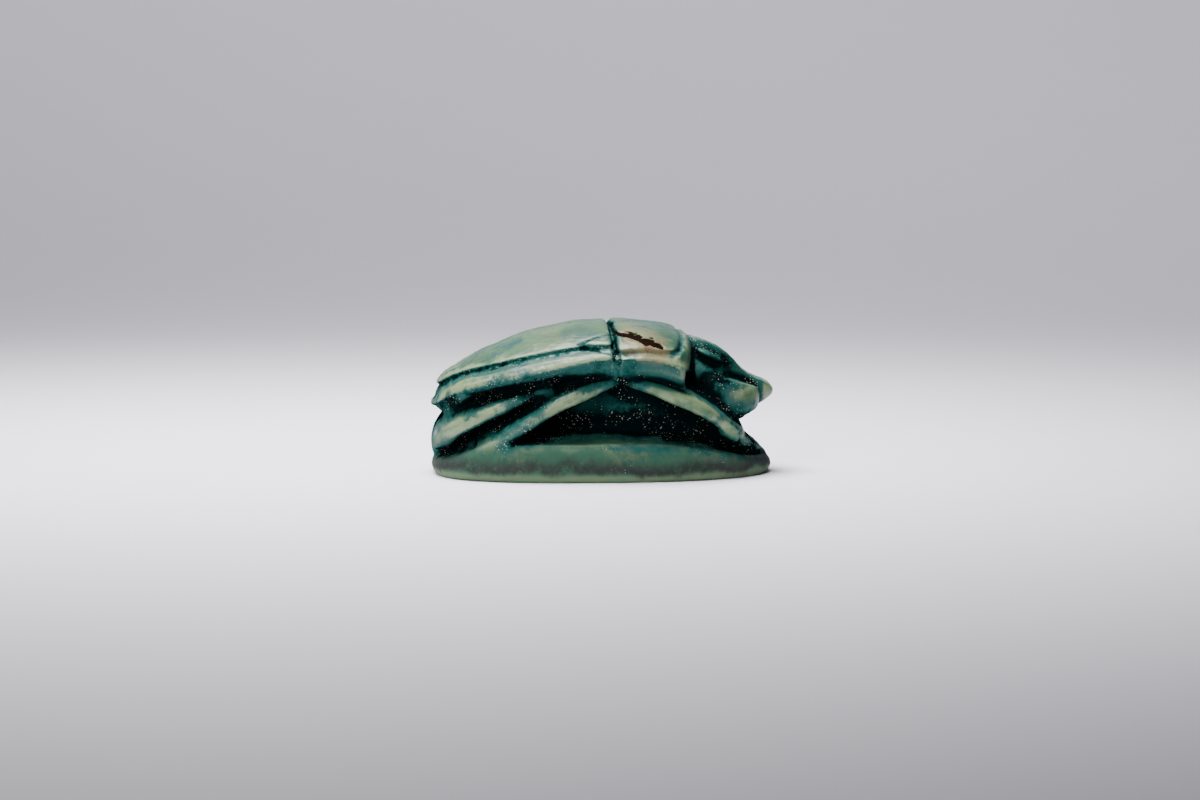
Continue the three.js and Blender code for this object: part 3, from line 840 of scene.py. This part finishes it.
class Nodes:
    """A material's node tree, built with short calls."""

    def __init__(self, name: str) -> None:
        """Starts a material with one Principled shader."""
        self.material = bpy.data.materials.new(name)
        self.material.use_nodes = True
        self.tree = self.material.node_tree
        self.shader = self.tree.nodes["Principled BSDF"]
        self.place = self.add("TexCoord").outputs["Object"]

    def link(self, source: Socket, target: Socket) -> None:
        """Joins two sockets."""
        self.tree.links.new(source, target)

    def feed(self, socket: Socket, value: object) -> None:
        """Links a socket to a node's output, or sets its plain value."""
        if isinstance(value, Socket):
            self.link(value, socket)
        elif isinstance(value, tuple):
            socket.default_value = (*value, 1.0)[: len(socket.default_value)]
        else:
            socket.default_value = value

    def add(self, kind: str, **inputs: object) -> bpy.types.Node:
        """Adds a node and feeds its inputs; an underscore stands for a space in an input's name."""
        node = self.tree.nodes.new("ShaderNode" + kind)
        for name, value in inputs.items():
            self.feed(node.inputs[name.replace("_", " ")], value)
        return node

    def attribute(self, name: str) -> Socket:
        """Reads a number stored on the mesh."""
        node = self.add("Attribute")
        node.attribute_name = name
        return node.outputs["Fac"]

    def noise(self, cloud: Cloud, upright: float = 1.0) -> Socket:
        """Adds noise in the object's own space, drawn out upwards where upright is below 1."""
        place = self.place
        if upright != 1.0:
            place = self.add("Mapping", Vector=place, Scale=(1.0, 1.0, upright)).outputs["Vector"]
        node = self.add("TexNoise", Vector=place, Scale=cloud.scale, Detail=cloud.detail,
                        Roughness=cloud.rough)
        return node.outputs["Fac"]

    def patches(self, patches: Patches) -> Socket:
        """Adds soft patches, from 0 between them to their strength."""
        return self.times(self.ramp(self.noise(patches.cloud), *patches.span), patches.strength)

    def height(self) -> Socket:
        """Reads the height above the ground, in metres."""
        return self.add("SeparateXYZ", Vector=self.place).outputs["Z"]

    def cells(self, scale: float) -> Socket:
        """Adds the distance to the nearest of many scattered points."""
        return self.add("TexVoronoi", Vector=self.place, Scale=scale).outputs["Distance"]

    def ramp(self, value: object, low: float, high: float) -> Socket:
        """Rises smoothly from 0 where value is low to 1 where it is high."""
        falls = low > high
        node = self.add("MapRange", Value=value, From_Min=min(low, high), From_Max=max(low, high),
                        To_Min=float(falls), To_Max=float(not falls))
        node.interpolation_type = "SMOOTHSTEP"
        return node.outputs["Result"]

    def math(self, kind: str, a: object, b: object) -> Socket:
        """Combines two numbers."""
        node = self.add("Math")
        node.operation = kind
        self.feed(node.inputs[0], a)
        self.feed(node.inputs[1], b)
        return node.outputs[0]

    def times(self, first: object, *others: object) -> Socket:
        """Multiplies numbers."""
        for other in others:
            first = self.math("MULTIPLY", first, other)
        return first

    def plus(self, first: object, *others: object) -> Socket:
        """Adds numbers."""
        for other in others:
            first = self.math("ADD", first, other)
        return first

    def mix(self, share: object, a: object, b: object) -> Socket:
        """Mixes two colours."""
        node = self.add("Mix")
        node.data_type = "RGBA"
        self.feed(node.inputs[0], share)
        self.feed(node.inputs[6], a)
        self.feed(node.inputs[7], b)
        return node.outputs[2]

    def bump(self, height: Socket, distance: float, strength: float = 1.0) -> None:
        """Adds fine relief to the shader."""
        node = self.add("Bump", Strength=strength, Distance=distance, Height=height)
        self.link(node.outputs["Normal"], self.shader.inputs["Normal"])


@dataclass(frozen=True)
class Glaze:
    """Blue-green glaze: pale where thin, deep teal where it lies thick, rubbed through on the ridges,
    and darkened with painted shade to near-black in the hollows and under the rim.
    """

    pale: Colour = (0.044, 0.100, 0.046)
    green: Colour = (0.015, 0.058, 0.033)
    teal: Colour = (0.003, 0.048, 0.041)
    # deep is near-black painted shade in the deepest hollows, over the darkest glaze.
    deep: Colour = (0.0010, 0.0040, 0.0045)
    bare: Colour = (0.165, 0.215, 0.115)
    dirt: Colour = (0.010, 0.012, 0.011)
    rust: Colour = (0.080, 0.036, 0.016)
    tan: Colour = (0.175, 0.145, 0.075)
    dust: Colour = (0.62, 0.55, 0.40)
    black: Colour = (0.008, 0.004, 0.003)

    fine: Cloud = Cloud(2600.0, 4.0, 0.65)
    uneven: Cloud = Cloud(1100.0, 5.0)
    pooling: Patches = Patches(Cloud(330.0, 6.0, 0.7), (0.44, 0.68), 0.36)
    thin: Patches = Patches(Cloud(420.0, 5.0), (0.34, 0.64))
    blotches: Patches = Patches(Cloud(260.0, 7.0, 0.75), (0.50, 0.70), 0.38)
    freckles: Patches = Patches(Cloud(500.0), (0.48, 0.58), 0.7)
    grime: Patches = Patches(Cloud(800.0, 9.0, 0.85), (0.34, 0.50), 0.95)
    crumbs: Patches = Patches(Cloud(1100.0), (0.46, 0.64), 0.55)
    stains: Patches = Patches(Cloud(900.0), (0.36, 0.58), 0.85)
    rusting: Patches = Patches(Cloud(1700.0, 6.0, 0.7), (0.50, 0.62), 0.8)
    chips: Patches = Patches(Cloud(700.0, 5.0, 0.7), (0.62, 0.68), 0.7)
    chipped: Patches = Patches(Cloud(160.0), (0.5, 0.6))
    streaks: Cloud = Cloud(420.0, 5.0, 0.65)
    streak_stretch: float = 0.45
    streak_height: float = 0.0016
    freckle_scale: float = 2300.0
    crumb_scale: float = 7500.0
    # Spans over which the teal glaze and the near-black painted shade take over.
    teal_span: Span = (0.14, 0.42)
    deep_span: Span = (0.50, 0.80)
    rubbed_span: Span = (0.14, 0.46)
    rubbing: float = 0.85
    lip: float = 0.40
    roughness: float = 0.32
    fine_roughness: float = 0.15
    matt_roughness: float = 0.55
    shine: float = 0.28
    bump_height: float = 0.00004
    bump_strength: float = 0.6

    def tone(self, n: Nodes, pooled_and_shade: Socket, uneven: Socket) -> Socket:
        """Mixes the glaze's own colours.

        Args:
            n: The material's nodes.
            pooled_and_shade: How thickly the glaze lies, with painted shade for the hollows, under the
                rim and low on the cheeks.
            uneven: Fine unevenness, centred on zero.

        Returns:
            The mixed colour.
        """
        # The glaze turns greener and darker low down, from 2.6 mm height to 1.4 mm.
        thin = n.math("SUBTRACT", n.patches(self.thin), n.ramp(n.height(), 0.0026, 0.0014))
        body = n.mix(n.math("MAXIMUM", thin, 0.0), self.green, self.pale)
        body = n.mix(n.patches(self.blotches), body, self.tan)
        freckles = n.times(n.ramp(n.cells(self.freckle_scale), 0.17, 0.06), n.patches(self.freckles))
        body = n.mix(freckles, body, self.rust)
        # Teal where the glaze lies thick and near-black deep in the hollows; both also paint shade into
        # hollows, under the rim and low on the cheeks.
        body = n.mix(n.ramp(pooled_and_shade, *self.teal_span), body, self.teal)
        body = n.mix(n.ramp(pooled_and_shade, *self.deep_span), body, self.deep)
        rubbed = n.ramp(n.plus(n.attribute("proud"), n.times(uneven, 0.9)), *self.rubbed_span)
        rubbed = n.times(rubbed, n.ramp(pooled_and_shade, 0.38, 0.18), n.ramp(n.height(), 0.0012, 0.0024))
        return n.mix(n.times(rubbed, self.rubbing), body, self.bare)

    def soil(self, n: Nodes, body: Socket, pooled_and_shade: Socket) -> Socket:
        """Adds the stained band round the plinth, the dust in the hollows and the crack.

        Args:
            n: The material's nodes.
            body: The glaze's colour.
            pooled_and_shade: How thickly the glaze lies, with painted shade for the hollows, under the
                rim and low on the cheeks.

        Returns:
            The soiled colour.
        """
        height = n.height()
        streaks = n.math("SUBTRACT", n.noise(self.streaks, self.streak_stretch), 0.5)
        level = n.plus(height, n.times(streaks, self.streak_height))
        body = n.mix(n.times(n.ramp(height, 0.00055, 0.00020), self.lip), body, self.bare)
        band = n.times(n.ramp(level, 0.00020, 0.00055), n.ramp(level, 0.00130, 0.00055))
        body = n.mix(n.times(band, n.patches(self.grime)), body, self.dirt)
        crumbs = n.times(n.ramp(n.cells(self.crumb_scale), 0.26, 0.10), n.ramp(pooled_and_shade, 0.12, 0.4))
        body = n.mix(n.times(crumbs, n.patches(self.crumbs)), body, self.dust)
        body = n.mix(n.times(n.attribute("stain"), n.patches(self.stains)), body, self.tan)
        body = n.mix(n.times(n.attribute("stain"), n.patches(self.rusting)), body, self.rust)
        chips = n.times(n.patches(self.chips), n.patches(self.chipped), n.ramp(pooled_and_shade, 0.40, 0.20))
        body = n.mix(chips, body, self.rust)
        return n.mix(n.ramp(n.attribute("crack"), 0.16, 0.30), body, self.black)

    def make(self) -> bpy.types.Material:
        """Builds the material."""
        n = Nodes("worn_blue_green_glaze")
        fine = n.noise(self.fine)
        uneven = n.math("SUBTRACT", n.noise(self.uneven), 0.5)
        lines = n.times(n.attribute("cut"), n.ramp(fine, 0.2, 0.9))
        # How thickly the glaze lies, plus the painted shade from the hollow and thickness marks.
        pooled_and_shade = n.plus(n.attribute("hollow"), n.attribute("thickness"), n.patches(self.pooling),
                        n.times(uneven, 0.25), lines)
        body = self.soil(n, self.tone(n, pooled_and_shade, uneven), pooled_and_shade)
        n.link(body, n.shader.inputs["Base Color"])

        matt = n.math("MAXIMUM", n.ramp(pooled_and_shade, 0.35, 0.6), n.ramp(n.attribute("crack"), 0.05, 0.2))
        matt = n.math("MAXIMUM", matt, n.times(n.ramp(n.height(), 0.0022, 0.0016), 0.8))
        rough = n.plus(self.roughness, n.times(n.ramp(fine, 0.35, 0.7), self.fine_roughness))
        n.link(n.plus(rough, n.times(matt, self.matt_roughness)), n.shader.inputs["Roughness"])
        shine = n.times(n.ramp(pooled_and_shade, 0.70, 0.35), n.ramp(n.attribute("crack"), 0.20, 0.05))
        n.link(n.times(shine, self.shine), n.shader.inputs["Specular IOR Level"])
        n.bump(n.plus(n.times(fine, 0.5), uneven), self.bump_height, self.bump_strength)
        return n.material


@dataclass(frozen=True)
class Paper:
    """The plain pale floor."""

    colour: Colour = (0.85, 0.835, 0.925)
    cloud: Cloud = Cloud(30.0)
    shade: float = 0.97
    roughness: float = 0.55

    def make(self) -> bpy.types.Material:
        """Builds the material."""
        n = Nodes("pale_paper")
        tone = n.mix(n.noise(self.cloud), self.colour, tuple(self.shade * c for c in self.colour))
        n.link(tone, n.shader.inputs["Base Color"])
        n.shader.inputs["Roughness"].default_value = self.roughness
        return n.material


# ---- sub-assemblies
@dataclass
class Scarab:
    """The carved and glazed stone."""

    carving: Carving = Carving()
    surface: SurfaceMaker = SurfaceMaker()
    wear_and_shade: WearAndShade = WearAndShade()
    glaze: Glaze = Glaze()

    def build(self) -> bpy.types.Object:
        """Carves, wears and glazes the stone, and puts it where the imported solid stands."""
        points, faces = self.surface.mesh(self.carving)
        slope = self.carving.slope(points)[1]
        normals = slope / np.maximum(np.linalg.norm(slope, axis=1, keepdims=True), 1e-6)
        marks = {
            # The hollow and thickness marks carry painted shade in hollows, under the rim and low on the
            # cheeks, along with thicker glaze.
            "hollow": self.wear_and_shade.hollow(self.carving, points, normals),
            "proud": self.wear_and_shade.proud(self.carving, points, normals),
            "crack": self.wear_and_shade.crack_mark(points),
            "thickness": self.wear_and_shade.thickness(self.carving, points),
            "cut": self.wear_and_shade.cut_mark(self.carving, points),
        }
        points = points + normals * self.wear_and_shade.relief(points)[:, None]
        marks["stain"] = self.wear_and_shade.stain_mark(points)
        obj = mesh_object("scarab_carving", self.place(points), faces)
        for name, values in marks.items():
            store(obj, name, values)
        obj.data.materials.append(self.glaze.make())
        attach(obj, "root")
        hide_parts(NODE)
        legs = ", ".join(leg.name.value for leg in self.carving.legs)
        logger.info("%s: %d points, %d faces; legs: %s", obj.name, len(points), len(faces), legs)
        return obj

    def place(self, points: Array) -> Array:
        """Turns millimetres into metres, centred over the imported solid's box."""
        low, high = (np.array(corner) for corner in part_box(NODE))
        middle = (low + high) / 2
        own = (points.min(axis=0) + points.max(axis=0)) / 2
        shift = np.array([middle[0] - own[0] * MM, middle[1] - own[1] * MM, low[2]])
        return points * MM + shift


@dataclass(frozen=True)
class Lamp:
    """A soft square lamp: where it hangs, what it faces, its side, watts, tint and beam in degrees."""

    name: str
    place: Three
    aim: Three
    size: float
    power: float
    colour: Colour
    spread: float

    def hang(self) -> None:
        """Hangs the lamp."""
        light = bpy.data.lights.new(self.name, "AREA")
        light.size = self.size
        light.energy = self.power
        light.color = self.colour
        light.spread = math.radians(self.spread)
        obj = bpy.data.objects.new(self.name, light)
        obj.location = self.place
        facing = Vector(self.aim) - Vector(self.place)
        obj.rotation_euler = facing.to_track_quat("-Z", "Y").to_euler()
        bpy.context.scene.collection.objects.link(obj)


LAMPS = (
    Lamp("overhead", (-0.018, 0.010, 0.078), (-0.012, 0.012, 0.0), 0.055, 0.122, (1.0, 1.0, 0.99),
         116.0),
    Lamp("front", (-0.14, -0.26, 0.12), (0.0, 0.01, 0.004), 0.12, 0.045, (1.0, 0.99, 0.97), 26.0),
    Lamp("backdrop", (0.0, 0.16, 0.30), (0.0, 0.30, 0.0), 0.2, 0.33, (0.98, 0.98, 1.0), 120.0),
)


@dataclass
class Studio:
    """The pale floor, the soft lights and the camera."""

    paper: Paper = Paper()
    azimuth: float = -4.0
    elevation: float = 5.0
    distance: float = 0.2
    frame_width: float = 0.06
    curve_start: float = 0.1
    curve_radius: float = 0.25
    curve_angle: float = 85.0
    curve_steps: int = 24
    half_sheet: float = 1.5
    aim: Three = (-0.0001, 0.0, 0.00355)
    sensor: float = 36.0
    lamps: tuple[Lamp, ...] = LAMPS
    surround: Colour = (0.98, 0.98, 1.0)
    surround_strength: float = 0.05

    def floor(self) -> bpy.types.Object:
        """Lays a sheet that runs back and curves up."""
        rows = [(-0.8, 0.0), (-0.3, 0.0), (0.0, 0.0), (self.curve_start, 0.0)]
        for i in range(1, self.curve_steps + 1):
            turn = math.radians(self.curve_angle * i / self.curve_steps)
            rows.append((self.curve_start + self.curve_radius * math.sin(turn),
                         self.curve_radius * (1 - math.cos(turn))))
        rows.append((rows[-1][0] + 0.1, rows[-1][1] + 1.2))
        points = [(x, y, z) for y, z in rows for x in (-self.half_sheet, self.half_sheet)]
        faces = [(2 * i, 2 * i + 1, 2 * i + 3, 2 * i + 2) for i in range(len(rows) - 1)]
        floor = mesh_object("floor", np.array(points), np.array(faces))
        floor.data.materials.append(self.paper.make())
        return floor

    def lights(self) -> None:
        """Hangs the lamps and sets a dim pale surround."""
        for lamp in self.lamps:
            lamp.hang()
        world = bpy.data.worlds.new("surround")
        world.use_nodes = True
        background = world.node_tree.nodes["Background"]
        background.inputs["Color"].default_value = (*self.surround, 1.0)
        background.inputs["Strength"].default_value = self.surround_strength
        bpy.context.scene.world = world

    def camera(self) -> None:
        """Puts the camera beside the amulet, a little above the floor."""
        a, e = math.radians(self.azimuth), math.radians(self.elevation)
        back = Vector((math.sin(a) * math.cos(e), -math.cos(a) * math.cos(e), math.sin(e)))
        lens = bpy.data.cameras.new("camera")
        lens.sensor_width = self.sensor
        lens.lens = lens.sensor_width * self.distance / self.frame_width
        lens.clip_start = 0.01
        lens.clip_end = 10.0
        camera = bpy.data.objects.new("camera", lens)
        camera.location = Vector(self.aim) + back * self.distance
        camera.rotation_euler = (-back).to_track_quat("-Z", "Y").to_euler()
        bpy.context.scene.collection.objects.link(camera)
        bpy.context.scene.camera = camera

    def build(self) -> None:
        """Sets the whole studio."""
        self.floor()
        self.lights()
        self.camera()
        logger.info("studio set")


def main() -> None:
    """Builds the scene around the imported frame."""
    logging.basicConfig(level=logging.INFO, format="%(message)s")
    Studio().build()
    Scarab().build()


if __name__ == "__main__":
    main()
